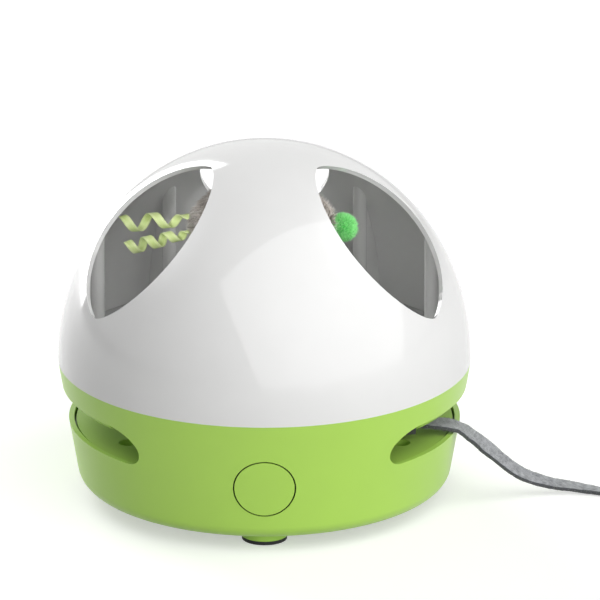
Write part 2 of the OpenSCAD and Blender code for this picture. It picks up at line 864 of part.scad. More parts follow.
// Screws in the wells of the deck
module deck_screws() {
    color(steel)
    for (az = deck_screws_az) at(deck_screw_r, az, deck_post_top + well_base) screw(deck_screw_l);
}

// Plate under the gears that carries both motors and the lower end of the mouse shaft
module drive_plate() {
    color("#E8E6DF")
    difference() {
        union() {
            translate([0, 0, plate_z])
                linear_extrude(plate_t) rounded(2 * (hang_post_x + plate_margin), 2 * plate_half_y,
                    plate_corner_r);
            translate([0, 0, plate_z - plate_boss_h])
                cylinder(d = bush_d + 2 * plate_boss_wall, h = plate_boss_h + eps);
        }
        translate([0, 0, plate_z - plate_boss_h - eps])
            cylinder(d = bush_d + 2 * run_clear, h = plate_boss_h + plate_t + 2 * eps);
        for (x = [-1, 1]) {
            translate([x * gear_distance, 0, plate_z - eps])
                cylinder(d = motor_boss_d + 2 * run_clear, h = plate_t + 2 * eps);
            for (y = [-1, 1]) {
                translate([x * gear_distance, y * motor_ear_y, plate_z - eps])
                    cylinder(d = screw_pilot_d, h = plate_t + 2 * eps);
                translate([x * hang_post_x, y * hang_post_y, plate_z - eps])
                    cylinder(d = screw_hole_d, h = plate_t + 2 * eps);
            }
        }
    }
}

// Screws that hang the drive plate under the deck
module drive_plate_screws() {
    color(steel)
    for (x = [-1, 1], y = [-1, 1])
        translate([x * hang_post_x, y * hang_post_y, plate_z])
            mirror([0, 0, 1]) screw(plate_t + deck_z - plate_top - pilot_spare);
}

// Geared motor under the drive plate, with its mounting ears and shaft bore
module motor(side) {
    color(steel)
    translate([side * gear_distance, 0, plate_z - motor_h])
        difference() {
            union() {
                cylinder(d = motor_d, h = motor_h);
                translate([0, 0, motor_h - eps]) cylinder(d = motor_boss_d, h = motor_boss_h + eps);
                translate([0, 0, motor_h - motor_ear_t])
                    linear_extrude(motor_ear_t)
                        rounded(motor_ear_w, 2 * (motor_ear_y + motor_ear_w / 2), motor_ear_w / 2 - eps);
            }
            translate([0, 0, motor_h - pinion_shaft_depth])
                cylinder(d = pinion_shaft_d + 2 * run_clear, h = pinion_shaft_depth + motor_boss_h + eps);
            for (y = [-1, 1])
                translate([0, y * motor_ear_y, motor_h - motor_ear_t - eps])
                    cylinder(d = screw_hole_d, h = motor_ear_t + 2 * eps);
        }
}
module mouse_motor() {
    motor(1);
}
module tail_motor() {
    motor(-1);
}

// Screws through the motors' ears
module motor_screws() {
    color(steel)
    for (x = [-1, 1], y = [-1, 1])
        translate([x * gear_distance, y * motor_ear_y, plate_z - motor_ear_t])
            mirror([0, 0, 1]) screw(motor_ear_t + plate_t - motor_screw_short, motor_screw_head_d);
}

// Motor pinion on its own steel shaft, turned so that a gap faces the gear
module pinion(side, z) {
    shaft_z = plate_z - pinion_shaft_depth + seat_clear;
    foot_z = plate_z + motor_boss_h + seat_clear;
    color("#D9D4C4")
    translate([side * gear_distance, 0, 0]) {
        translate([0, 0, z]) linear_extrude(gear_t) rotate(180 / pinion_teeth) gear_outline(pinion_teeth);
        translate([0, 0, foot_z]) cylinder(d = motor_boss_d, h = z - foot_z + eps);
        translate([0, 0, shaft_z]) cylinder(d = pinion_shaft_d, h = z - shaft_z + eps);
    }
}
module mouse_pinion() {
    pinion(1, mouse_gear_z);
}
module tail_pinion() {
    pinion(-1, tail_gear_z);
}

// Gear that turns the mouse shaft
module mouse_gear() {
    color("#EFEBDD")
    translate([0, 0, mouse_gear_z])
        linear_extrude(gear_t)
            difference() {
                gear_outline(gear_teeth);
                circle(d = shaft_d + 2 * run_clear);
            }
}

// Gear that swings the tail, with the tube that runs up through the deck
module tail_gear() {
    color("#EFEBDD")
    difference() {
        union() {
            translate([0, 0, tail_gear_z]) linear_extrude(gear_t) gear_outline(gear_teeth);
            translate([0, 0, tail_gear_z]) cylinder(d = hub_d, h = hub_top - tail_gear_z);
        }
        translate([0, 0, tail_gear_z - eps]) cylinder(d = hub_bore_d, h = hub_top - tail_gear_z + 2 * eps);
    }
}

// Arm on the tail hub that reaches out to the clip
module tail_arm() {
    collar_d = hub_d + 2 * (run_clear + collar_wall);
    color("#5B5F63")
    difference() {
        union() {
            translate([0, 0, collar_z]) cylinder(d = collar_d, h = collar_h);
            rotate(arm_az)
                translate([-arm_w / 2, -arm_reach, arm_low])
                    cube([arm_w, arm_reach, clip_wall]);
            rotate(arm_az)
                translate([-clip_wall / 2, clip_l - arm_reach, arm_low])
                    cube([clip_wall, arm_reach - clip_l, collar_z + collar_h - arm_low - arm_rib_drop]);
            translate([clip_at[0], clip_at[1], arm_low])
                rotate(clip_turn)
                    linear_extrude(clip_wall) rounded(clip_l, clip_inner_w + 2 * clip_wall, clip_corner_r);
        }
        translate([0, 0, collar_z - eps]) cylinder(d = hub_d + 2 * run_clear, h = collar_h + 2 * eps);
    }
}

// Bracket that clamps the felt on the arm
module tail_clip() {
    outer_w = clip_inner_w + 2 * clip_wall;
    color("#5B5F63")
    translate([clip_at[0], clip_at[1], arm_low + clip_wall])
        rotate(clip_turn)
            difference() {
                linear_extrude(clip_inner_h + clip_wall) rounded(clip_l, outer_w, clip_corner_r);
                translate([-clip_l, -clip_inner_w / 2, -eps])
                    cube([2 * clip_l, clip_inner_w, clip_inner_h + eps]);
            }
}

// Ring that keeps the arm on its hub
module hub_retainer() {
    color(steel)
    translate([0, 0, collar_z + collar_h]) tube(hub_d + 2 * retainer_wall, hub_d + 2 * run_clear, retainer_t);
}

// Felt tail, swept along its route, rolling forwards past the clip and tapering in width to the tip
module tail_strip() {
    last = len(tail_route) - 1;
    round_up = 1 / cos(180 / tail_sides);
    color("#8C8E91")
    loft([for (k = [0 : last])
        let (ahead = unit(tail_route[min(last, k + 1)] - tail_route[max(0, k - 1)]),
            level = unit(cross([0, 0, 1], ahead)),
            lift = cross(ahead, level),
            settle = min(1, (last - k) / (last / 2)),
            roll = tail_roll * settle * max(0, min(1, (k - tail_roll_from) / tail_roll_over)),
            side = level * cos(roll) + lift * sin(roll),
            up = cross(ahead, side),
            wide = tail_w * (1 - tail_taper * pow(k / last, 2)))
        [for (i = [0 : tail_sides - 1])
            let (a = (i + 0.5) * 360 / tail_sides)
            tail_route[k] + round_up * (side * cos(a) * wide + up * sin(a) * tail_t) / 2]]);
}

// Shaft that turns the mouse
module mouse_shaft() {
    color(steel)
    translate([0, 0, shaft_low]) cylinder(d = shaft_d, h = stem_socket_top - seat_clear - shaft_low);
}

// Flanged bush for the mouse shaft, with its flange on top
module bush(z, length) {
    color("#C8A15A")
    translate([0, 0, z])
        difference() {
            union() {
                cylinder(d = bush_d, h = length + bush_flange_t);
                translate([0, 0, length]) cylinder(d = bush_d + 2 * bush_flange_w, h = bush_flange_t);
            }
            translate([0, 0, -eps])
                cylinder(d = shaft_d + 2 * run_clear, h = length + bush_flange_t + 2 * eps);
        }
}
module lower_bush() {
    bush(plate_z - plate_boss_h, plate_boss_h + plate_t);
}
module upper_bush() {
    bush(floor_z - floor_boss_h, floor_boss_h + deck_t);
}

// Spring clip on the shaft above the upper bush
module shaft_clip() {
    color(steel)
    translate([0, 0, floor_top + bush_flange_t + axial_gap])
        tube(shaft_d + 2 * shaft_clip_wall, shaft_d + 2 * run_clear, shaft_clip_t);
}

// Floor of the dome over the tail space
module dome_floor() {
    color(inner_grey)
    difference() {
        union() {
            translate([0, 0, floor_z]) cylinder(r = floor_r, h = deck_t - floor_lip_t / 2);
            translate([0, 0, floor_top - floor_lip_t]) cylinder(r = spigot_r, h = floor_lip_t);
            translate([0, 0, floor_z - floor_boss_h]) cylinder(d = floor_boss_d, h = floor_boss_h + eps);
        }
        translate([0, 0, floor_z - floor_boss_h - eps])
            cylinder(d = bush_d + 2 * run_clear, h = floor_boss_h + deck_t + 2 * eps);
        for (az = posts_az)
            at(post_r, az, floor_z - eps) cylinder(d = screw_hole_d, h = deck_t + 2 * eps);
    }
}

// Screws up through the dome floor into the posts
module dome_screws() {
    color(steel)
    for (az = posts_az) at(post_r, az, floor_z) mirror([0, 0, 1]) screw(deck_t + dome_screw_l);
}

// Dome with its windows and the screw posts inside
module dome_shell() {
    color(dome_white)
    difference() {
        union() {
            rotate_extrude()
                difference() {
                    dome_section(0);
                    dome_section(dome_wall);
                }
            intersection() {
                rotate_extrude() dome_section(dome_wall / 2);
                for (az = posts_az) {
                    at(post_r, az, floor_top) cylinder(d = post_d, h = dome_h);
                    at(post_r, az, post_web_z)
                        translate([-post_web_t / 2, -body_r, 0]) cube([post_web_t, body_r, dome_h]);
                }
            }
        }
        window_cuts();
        for (az = posts_az)
            at(post_r, az, floor_top - eps) cylinder(d = screw_pilot_d, h = post_pilot_depth);
    }
}

// Power button, a piece of the front wall on a sliding skirt
module power_button() {
    color(base_green)
    union() {
        intersection() {
            rotate_extrude()
                difference() {
                    base_section(0);
                    base_section(base_wall);
                }
            at_button() translate([0, 0, -base_wall]) cylinder(d = button_d, h = 3 * base_wall);
        }
        at_button() {
            translate([0, 0, base_wall - button_weld])
                tube(button_d, button_d - 2 * skirt_wall,
                    guide_l + seat_clear - base_wall + button_weld + eps);
            translate([0, 0, guide_l + seat_clear])
                tube(button_flange_d, button_d - 2 * skirt_wall, button_flange_t);
            translate([0, 0, base_wall - button_weld])
                cylinder(d = button_stem_d, h = button_stem_end - base_wall + button_weld);
        }
    }
}

// Plunger that the button pushes into the switch
module switch_plunger() {
    color("#202020")
    at_button() translate([0, 0, button_stem_end]) cylinder(d = plunger_d, h = plunger_l);
}

// Switch on the small board behind the button
module switch_body() {
    color("#303030")
    at_button()
        translate([0, 0, switch_z])
            difference() {
                translate([-switch_w / 2, -switch_w / 2, 0]) cube([switch_w, switch_w, switch_h]);
                translate([0, 0, -eps]) cylinder(d = plunger_d + 2 * run_clear, h = switch_h - switch_floor);
            }
}

// Small board that carries the switch
module switch_board() {
    color(board_green)
    at_button()
        translate([0, 0, board_z])
            difference() {
                linear_extrude(board_t) rounded(2 * board_half_w, 2 * board_half_h, board_corner_r);
                for (x = [-1, 1])
                    translate([x * board_post_x, 0, -eps]) cylinder(d = screw_hole_d, h = board_t + 2 * eps);
            }
}

// Screws of the switch board
module switch_board_screws() {
    color(steel)
    at_button()
        for (x = [-1, 1])
            translate([x * board_post_x, 0, board_z + board_t])
                screw(board_t + board_pilot_depth - pilot_spare);
}

// Stem on the shaft with the saddle and the peg that hold the mouse
module mouse_stem() {
    color("#3C3C3E")
    difference() {
        union() {
            translate([0, 0, stem_z])
                cylinder(d1 = stem_d, d2 = stem_top_d, h = saddle_top - saddle_t - stem_z);
            translate([0, 0, saddle_top - saddle_t - eps]) cylinder(d = saddle_d, h = saddle_t + eps);
            translate([0, 0, saddle_top - eps]) cylinder(d = mouse_peg_d, h = mouse_peg_h);
        }
        translate([0, 0, stem_z - eps]) cylinder(d = shaft_d + 2 * run_clear, h = stem_socket_top - stem_z);
    }
}

// Half size of the body at a share of its length from the rump
function swell(t) = pow(sin(180 * pow(t, body_swell)), body_blunt);
// Point on the body's skin
function skin(t, a, grow = 0) = [rump_x + t * mouse_l,
    (swell(t) * mouse_w / 2 + grow) * cos(a),
    mouse_z + (swell(t) * mouse_h / 2 + grow) * sin(a) * (sin(a) < 0 ? belly : 1)];

// Stuffed body as a skin through rings from the rump to the snout
module mouse_form() {
    loft([for (k = [0 : body_rings])
        let (t = 0.004 + 0.992 * (1 - cos(180 * k / body_rings)) / 2)
        [for (i = [0 : body_sides - 1]) skin(t, i * 360 / body_sides)]]);
}

// Stuffed body on the peg of the stem
module mouse_body() {
    color("#9A8F86")
    difference() {
        mouse_form();
        translate([0, 0, saddle_top - seat_depth + seat_clear]) {
            cylinder(d = mouse_peg_d + 2 * seat_clear, h = seat_depth + mouse_peg_h);
            cylinder(d = saddle_d + 2 * seat_margin, h = seat_depth);
        }
    }
}

// Felt ears: a disc folded along a crease that leans out and back, open outwards and forwards
module mouse_ears() {
    ear_share = (ear_x - rump_x) / mouse_l;
    color("#8CE04A")
    for (side = [-1, 1]) {
        z = unit([ear_crease[0], side * ear_crease[1], ear_crease[2]]);
        open = [ear_opening[0], side * ear_opening[1], ear_opening[2]];
        y = unit(z * (open * z) - open);
        x = cross(y, z);
        foot = skin(ear_share, 90 - side * ear_tilt) - ear_sink * z;
        difference() {
            multmatrix([for (i = [0 : 2]) [x[i], y[i], z[i], foot[i]]])
                for (half = [0, 1])
                    mirror([half, 0, 0])
                        rotate(-ear_fold)
                            intersection() {
                                translate([0, ear_t / 2, ear_l / 2])
                                    rotate([90, 0, 0]) cylinder(d = ear_l, h = ear_t);
                                translate([0, -ear_l, -ear_l]) cube(3 * ear_l);
                            }
            mouse_form();
        }
    }
}

// Bead eyes
module mouse_eyes() {
    eye_share = (eye_x - rump_x) / mouse_l;
    color("#151515")
    for (a = eyes_at)
        difference() {
            translate(skin(eye_share, a)) sphere(d = eye_d);
            mouse_form();
        }
}

// Pompom nose
module mouse_nose() {
    color("#55E055")
    difference() {
        translate([snout_x + nose_d * nose_set, 0, mouse_z - nose_drop]) sphere(d = nose_d);
        mouse_form();
    }
}

// Points of a curled ribbon's middle: a helix that opens out from its root
function curl_point(start, end, radius, curls, s) =
    let (ahead = unit(end - start),
        side = unit(cross([0, 0, 1], ahead)),
        up = cross(ahead, side),
        wide = radius * (curl_root + (1 - curl_root) * sin(90 * min(1, max(0, s) / curl_open))),
        a = 360 * curls * s)
    start + (end - start) * s + wide * (side * cos(a) + up * sin(a));

// Rings of a flat ribbon along its helix, flat side outwards
function ribbon_skin(start, end, radius, curls, count) = [for (k = [0 : count])
    let (s = k / count,
        step = 0.25 / count,
        here = curl_point(start, end, radius, curls, s),
        ahead = unit(curl_point(start, end, radius, curls, s + step)
            - curl_point(start, end, radius, curls, s - step)),
        across = unit(end - start),
        wide = unit(across - ahead * (across * ahead)),
        out = cross(wide, ahead) * ribbon_t / 2,
        half = wide * ribbon_w / 2
            * (ribbon_root_share + (1 - ribbon_root_share) * min(1, s / ribbon_widen)))
    [here + out - half, here + out + half, here - out + half, here - out - half]];

// Least distance between rings that are at least so many rings apart
function least_gap(rings, apart) = let (last = len(rings) - 1)
    min([for (i = [0 : last - apart], j = [i + apart : last], p = rings[i], q = rings[j]) norm(p - q)]);

// Ribbon with the least gap between its curls printed
module ribbon(start, end, radius, curls) {
    fine = 3 * ribbon_rings;
    gap = least_gap(ribbon_skin(start, end, radius, curls, fine * curls), fine * 2 / 3);
    echo(str("least gap of a ribbon to itself, mm: ", gap));
    color("#C6DC8C") loft(ribbon_skin(start, end, radius, curls, ribbon_rings * curls));
}
module ribbon_upper() {
    ribbon(upper_start, upper_end, upper_radius, upper_curls);
}
module ribbon_lower() {
    ribbon(lower_start, lower_end, lower_radius, lower_curls);
}

base_housing();
bottom_cover();
foot_pads();
cover_screws();
battery_door();
battery_door_screw();
battery_cells();
battery_contacts();
speaker();
control_board();
control_board_screws();
slot_deck();
deck_screws();
drive_plate();
drive_plate_screws();
mouse_motor();
tail_motor();
motor_screws();
mouse_pinion();
tail_pinion();
mouse_gear();
tail_gear();
tail_arm();
tail_clip();
hub_retainer();
tail_strip();
mouse_shaft();
lower_bush();
upper_bush();
shaft_clip();
dome_floor();
dome_screws();
dome_shell();
power_button();
switch_plunger();
switch_body();
switch_board();
switch_board_screws();
mouse_stem();
mouse_body();
mouse_ears();
mouse_eyes();
mouse_nose();
ribbon_upper();
ribbon_lower();
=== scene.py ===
# %% [markdown]
# # A cat toy with a mouse under its dome
# The toy is a gloss white dome on a light green base. A plush mouse turns under the dome, a felt tail
# sweeps out of a slot, and a round button switches it on. The rigid pieces come from the CAD model and
# only need good finishes. The soft ones, the mouse, its ears and ribbons and the tail, are made here.

# %% Load the frame
import math

import bmesh
import bpy
import numpy as np
from mathutils import Matrix, Vector, noise


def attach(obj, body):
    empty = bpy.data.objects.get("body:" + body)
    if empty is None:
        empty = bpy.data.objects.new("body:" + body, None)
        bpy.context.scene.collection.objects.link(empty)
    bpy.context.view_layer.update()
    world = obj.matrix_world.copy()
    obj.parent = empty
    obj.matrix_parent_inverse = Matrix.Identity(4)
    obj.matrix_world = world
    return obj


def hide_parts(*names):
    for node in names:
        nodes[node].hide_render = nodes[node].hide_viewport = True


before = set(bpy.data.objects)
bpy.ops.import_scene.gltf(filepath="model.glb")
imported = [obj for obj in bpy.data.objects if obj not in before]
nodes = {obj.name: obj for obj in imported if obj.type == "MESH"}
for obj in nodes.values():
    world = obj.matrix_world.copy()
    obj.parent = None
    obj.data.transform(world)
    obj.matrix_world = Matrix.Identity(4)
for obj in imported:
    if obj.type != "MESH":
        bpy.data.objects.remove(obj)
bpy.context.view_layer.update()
scene = bpy.context.scene
MM = 0.001
noise.seed_set(7)  # without one, this noise takes its seed from the clock and no two runs are alike
print("CAD nodes:", len(nodes))

# %% [markdown]
# ## Camera
# The rim of the base is an ellipse 414 pixels wide and 139 high, which gives a view from 19.65 degrees
# above the floor, with hardly any perspective. A short lens moved close would bulge the dome, so a long
# lens stands far off instead. The toy sits left of the middle, and the lens shift does that without
# turning the camera.

# %% Camera
ELEVATION = math.radians(19.65)
PICTURE = 600
OFF_MIDDLE = 35.5
PIXELS_PER_METRE = 1881
DISTANCE = 8.0
AIM = Vector((0, 0, 0.107))
lens = bpy.data.cameras.new("long_lens")
lens.sensor_width = 36
lens.lens = lens.sensor_width * PIXELS_PER_METRE * DISTANCE / PICTURE
lens.shift_x = OFF_MIDDLE / PICTURE
lens.clip_end = 20
camera = bpy.data.objects.new("long_lens", lens)
camera.location = AIM + DISTANCE * Vector((0, -math.cos(ELEVATION), math.sin(ELEVATION)))
camera.rotation_euler = (math.pi / 2 - ELEVATION, 0, 0)
scene.collection.objects.link(camera)
scene.camera = camera
print("lens:", round(lens.lens), "mm")

# %% [markdown]
# ## Colours and nodes
# Colours are easiest to pick as the hex values that a screen shows, but a shader works in linear light,
# so one function converts them. Others add a node with its settings and links, or a whole ramp of
# colours, which keeps every material below down to a few lines.

# %% Colour and node helpers
def colour(code):
    """Linear colour of an sRGB hex value."""
    parts = [int(code[i:i + 2], 16) / 255 for i in (1, 3, 5)]
    return [c / 12.92 if c <= 0.04045 else ((c + 0.055) / 1.055) ** 2.4 for c in parts] + [1]


def add_node(tree, kind, values=None, links=None, **settings):
    """A node with its settings, the values of its sockets and what is linked to them."""
    made = tree.nodes.new(kind)
    for name, value in settings.items():
        setattr(made, name, value)
    for socket, value in (values or {}).items():
        made.inputs[socket].default_value = value
    for socket, source in (links or {}).items():
        tree.links.new(source, made.inputs[socket])
    return made


def ramp_of(tree, source, first, last, *between):
    """Colour of a value, from stops of a place and a hex value: both ends, and any between them."""
    ramp = add_node(tree, "ShaderNodeValToRGB", None, {"Fac": source})
    stops = ramp.color_ramp.elements
    for stop, (at, code) in zip(stops, (first, last)):
        stop.position = at
        stop.color = colour(code)
    for at, code in between:
        stops.new(at).color = colour(code)
    return ramp.outputs[0]


def new_finish(name, **values):
    """A material with its Principled shader, and its Object coordinates."""
    material = bpy.data.materials.new(name)
    material.use_nodes = True
    tree = material.node_tree
    shader = tree.nodes["Principled BSDF"]
    for socket, value in values.items():
        shader.inputs[socket.replace("_", " ")].default_value = value
    place = add_node(tree, "ShaderNodeTexCoord").outputs["Object"]
    return material, tree, shader, place


def per_mm(size):
    """Scale of a noise whose blotches are about this many millimetres wide."""
    return 1 / (size * MM)


print("the dome's white is", [round(c, 3) for c in colour("#F2F2F1")])

# %% [markdown]
# ## A sweep
# The tail and the ribbons are flat strips that follow a route. A curve with a bevel profile could do
# that, but it turns its profile as it likes. Here an outline is extruded step by step, and each new
# ring is carried to the next frame by a matrix, so the flat side faces where the real strip's does.

# %% Sweep helper
def frame_at(here, side, up, wide=1.0):
    """Matrix of a cross-section: its X runs along side, a share wide, and its Y along up."""
    ahead = side.cross(up)
    turn = Matrix((side * wide, up, ahead)).transposed().to_4x4()
    return Matrix.Translation(here) @ turn


def flat_outline(width, thick, count, square):
    """Points of a flat outline with round corners."""
    points = []
    for i in range(count):
        a = 2 * math.pi * (i + 0.5) / count
        x, y = math.cos(a), math.sin(a)
        points.append(Vector((math.copysign(abs(x) ** square, x) * width / 2,
                              math.copysign(abs(y) ** square, y) * thick / 2, 0)))
    return points


def settle_faces(bm):
    """Sort the faces by their points, because the order they are made in varies from run to run."""
    order = {v: i for i, v in enumerate(bm.verts)}

    def rank(face):
        at = sorted(order[v] for v in face.verts)
        return (at[0] * len(order) + at[1]) * len(order) + at[-1]

    bm.faces.sort(key=rank)


def sweep(outline, frames):
    """Closed strip through the frames."""
    bm = bmesh.new()
    start = bm.faces.new([bm.verts.new(frames[0] @ p) for p in outline])
    ring = list(start.edges)
    for before, after in zip(frames, frames[1:]):
        made = bmesh.ops.extrude_edge_only(bm, edges=ring)["geom"]
        verts = {g for g in made if isinstance(g, bmesh.types.BMVert)}
        ring = [g for g in made if isinstance(g, bmesh.types.BMEdge) and set(g.verts) <= verts]
        bmesh.ops.transform(bm, matrix=after @ before.inverted(), verts=list(verts))
    bmesh.ops.edgeloop_fill(bm, edges=ring)
    bmesh.ops.recalc_face_normals(bm, faces=bm.faces)
    settle_faces(bm)
    return bm


def finish_piece(name, bm, material, body, smooth=True):
    """Object of a finished bmesh, on its body."""
    mesh = bpy.data.meshes.new(name)
    bm.to_mesh(mesh)
    bm.free()
    return place_mesh(name, mesh, material, body, smooth)


def place_mesh(name, mesh, material, body, smooth=True):
    """Object of a mesh, on its body."""
    mesh.polygons.foreach_set("use_smooth", [smooth] * len(mesh.polygons))
    mesh.materials.append(material)
    piece = bpy.data.objects.new(name, mesh)
    scene.collection.objects.link(piece)
    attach(piece, body)
    print(name, len(mesh.polygons), "faces")
    return piece


def route_length(points):
    """Length of a line through the points."""
    return sum((b - a).length for a, b in zip(points, points[1:]))


print("sweep helpers ready")

# %% [markdown]
# ## Fibres
# Felt, plush and pompoms are thousands of fine fibres. Hair particles would draw them, but they leave
# no mesh behind, so each fibre is a thin bent cone of a few faces. No operator grows fibres, so this
# step fills one mesh from arrays. Two attributes go with every point: a number of its fibre's own, for
# colour from fibre to fibre, and how far along the fibre it is, for dark roots and pale tips.

# %% Fibre helper
def grow_fibres(name, roots, middles, tips, widths, rng):
    """Mesh of bent three-sided cones from roots through middles to tips."""
    count = len(roots)
    lean = tips - roots
    lean /= np.linalg.norm(lean, axis=1, keepdims=True)
    other = np.cross(lean, rng.normal(size=(count, 3)))
    other /= np.linalg.norm(other, axis=1, keepdims=True)
    third = np.cross(lean, other)
    rings = []
    for a in (0, 2 * math.pi / 3, 4 * math.pi / 3):
        out = (other * math.cos(a) + third * math.sin(a)) * widths[:, None] / 2
        rings.append((roots + out, middles + 0.75 * out))
    points = np.stack([r[0] for r in rings] + [r[1] for r in rings] + [tips], axis=1).reshape(-1, 3)
    one = [(2, 1, 0), (0, 1, 4, 3), (1, 2, 5, 4), (2, 0, 3, 5), (3, 4, 6), (4, 5, 6), (5, 3, 6)]
    faces = [tuple(7 * k + i for i in face) for k in range(count) for face in one]
    mesh = bpy.data.meshes.new(name)
    mesh.from_pydata(points.tolist(), [], faces)
    fibre = mesh.attributes.new("fibre", "FLOAT", "POINT")
    fibre.data.foreach_set("value", np.repeat(rng.random(count), 7).astype(np.float32))
    along = mesh.attributes.new("along", "FLOAT", "POINT")
    along.data.foreach_set("value", np.tile([0, 0, 0, 0.5, 0.5, 0.5, 1], count).astype(np.float32))
    return mesh


def scatter(mesh, count, rng):
    """Points spread evenly over a mesh of triangles, and the normals there."""
    mesh.calc_loop_triangles()
    places = np.array([v.co for v in mesh.vertices])
    normals = np.array([v.normal for v in mesh.vertices])
    corners = np.array([t.vertices for t in mesh.loop_triangles])
    a, b, c = (places[corners[:, i]] for i in range(3))
    area = np.linalg.norm(np.cross(b - a, c - a), axis=1)
    pick = rng.choice(len(area), count, p=area / area.sum())
    u, v = rng.random((2, count, 1))
    u, v = np.where(u + v > 1, 1 - u, u), np.where(u + v > 1, 1 - v, v)
    first, second, third = corners[pick].T

    def mix(x):
        return x[first] * (1 - u - v) + x[second] * u + x[third] * v

    n = mix(normals)
    return mix(places), n / np.linalg.norm(n, axis=1, keepdims=True)


print("fibre helpers ready")

# %% [markdown]
# ## Grey felt
# The tail is thick pressed wool felt, cut in a tapering strip. Felt has no weave: it is a mat of short
# fibres, so it looks soft and blotchy, with paler and darker wisps. Two noises, one for blotches of
# about 3 mm and one for fibres, mix the colour and make the bump, and sheen catches light on the fuzz.
# The narrow cut sides of the strip are painted darker: painted shade on its side faces.

# %% Grey felt
grey_felt, tree, shader, place = new_finish("pressed_grey_felt", Roughness=0.95, Sheen_Weight=0.35,
                                            Sheen_Roughness=0.6)
blotch = add_node(tree, "ShaderNodeTexNoise", {"Scale": per_mm(3.0), "Detail": 4.0}, {"Vector": place})
stretch = add_node(tree, "ShaderNodeMapping", {"Scale": (0.35, 1.0, 1.0)}, {"Vector": place})
wisp = add_node(tree, "ShaderNodeTexNoise", {"Scale": per_mm(0.7), "Detail": 6.0, "Roughness": 0.7},
                {"Vector": stretch.outputs[0]})
both = add_node(tree, "ShaderNodeMix", {"Factor": 0.6}, {2: blotch.outputs[0], 3: wisp.outputs[0]})
wool = ramp_of(tree, both.outputs[0], (0.36, "#74767A"), (0.62, "#BABCC0"))
fuzz = add_node(tree, "ShaderNodeBump", {"Strength": 0.7, "Distance": 0.5 * MM},
                {"Height": wisp.outputs[0]})
# painted shade: the narrow sides of the strip are mixed towards dark grey
edge_shade_mask = add_node(tree, "ShaderNodeAttribute", attribute_name="painted_edge_shade").outputs["Fac"]
shown = add_node(tree, "ShaderNodeMix", {7: colour("#4E5054")}, {0: edge_shade_mask, 6: wool}, data_type="RGBA")
tree.links.new(shown.outputs[2], shader.inputs["Base Color"])
tree.links.new(fuzz.outputs[0], shader.inputs["Normal"])
print("finish:", grey_felt.name)

# %% [markdown]
# ## The tail
# The strip is 12 mm wide at its clip, tapers to 4 mm at its tip, and is 2.6 mm thick. It lies level on
# the arm, rolls towards the front as it hangs over the sill of the slot, and comes down to the floor,
# where it lies flat. The route is the CAD model's, drawn smoother, and the skin is then pushed about by
# a noise, because cut felt is ragged. Loose fibres stand up all over it.

# %% Felt tail
TAIL_W, TAIL_T, TAIL_TAPER = 12 * MM, 2.6 * MM, 0.65
OUTLINE_POINTS, CORNER, EDGE_FROM = 28, 0.35, 0.46
FLOOR_GAP, HAIR_GAP = 0.1 * MM, 0.4 * MM
ROLL_AT, ROLL = [2, 5, 6, 8, 10, 13, 15, 18, 20], [0, 10, 12, 24, 34, 36, 24, 6, 0]
TAIL_ROUTE = [(68, -31, 48), (73, -30, 48), (80, -28.5, 47.8), (86, -27.4, 47.4), (93, -26.2, 46.6),
              (99, -25, 45.4), (102.6, -24, 43.9), (106, -23.2, 41.7), (109.4, -22.5, 39),
              (112.7, -21.5, 36), (116.1, -20.5, 32.9), (122.9, -18.5, 26.4), (129.7, -16, 19.5),
              (136.5, -13.5, 14), (143.2, -11, 10.1), (153.4, -8.5, 6.2), (163.6, -7.2, 4.1),
              (173.7, -7.6, 2.5), (180, -9.5, 1.9), (188, -13, 1.8), (196, -17, 1.8)]


def smooth_route(points, steps):
    """A smooth line through the points, with so many steps between them."""
    p = [Vector(x) * MM for x in points]
    p = [2 * p[0] - p[1]] + p + [2 * p[-1] - p[-2]]
    line = []
    for a, b, c, d in zip(p, p[1:], p[2:], p[3:]):
        for i in range(steps):
            t = i / steps
            line.append(0.5 * (2 * b + (c - a) * t + (2 * a - 5 * b + 4 * c - d) * t * t
                               + (3 * b - a - 3 * c + d) * t ** 3))
    return line + [p[-2]]


STEPS = 6
tail_line = smooth_route(TAIL_ROUTE, STEPS)
tail_frames = []
last = len(TAIL_ROUTE) - 1
for i, here in enumerate(tail_line):
    k = i / STEPS
    ahead = (tail_line[min(i + 1, len(tail_line) - 1)] - tail_line[max(i - 1, 0)]).normalized()
    level = Vector((0, 0, 1)).cross(ahead).normalized()
    roll = math.radians(np.interp(k, ROLL_AT, ROLL))
    side = level * math.cos(roll) + ahead.cross(level) * math.sin(roll)
    tail_frames.append(frame_at(here, side, ahead.cross(side), 1 - TAIL_TAPER * (k / last) ** 2))
tail_outline = flat_outline(TAIL_W, TAIL_T, OUTLINE_POINTS, CORNER)
tail_bm = sweep(tail_outline, tail_frames)
painted_edge_shade = tail_bm.verts.layers.float.new("painted_edge_shade")
# marks the narrow sides of the strip, where the felt's colour gets painted shade
for i, v in enumerate(tail_bm.verts):
    v[painted_edge_shade] = 1 if abs(tail_outline[i % OUTLINE_POINTS].x) > EDGE_FROM * TAIL_W else 0
    push = noise.noise_vector(v.co / (2.2 * MM)) * 0.22 + noise.noise_vector(v.co / (7 * MM)) * 0.25
    v.co += push * MM
    v.co.z = max(v.co.z, FLOOR_GAP)
tail = finish_piece("felt_tail", tail_bm, grey_felt, "tail_rotor")
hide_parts("tail_strip")
print("tail length:", round(route_length(tail_line) / MM), "mm")
HAIRS = 3200
rng = np.random.default_rng(3)
roots, normals = scatter(tail.data, HAIRS, rng)
lean = 0.5 * normals + 0.8 * rng.normal(size=roots.shape)
lean /= np.linalg.norm(lean, axis=1, keepdims=True)
long = rng.uniform(0.5, 1.3, HAIRS)[:, None] * MM
tips = roots + (lean + 0.3 * normals) * long
halves = roots + 0.5 * lean * long
for points in (roots, halves, tips):
    points[:, 2] = np.maximum(points[:, 2], HAIR_GAP)
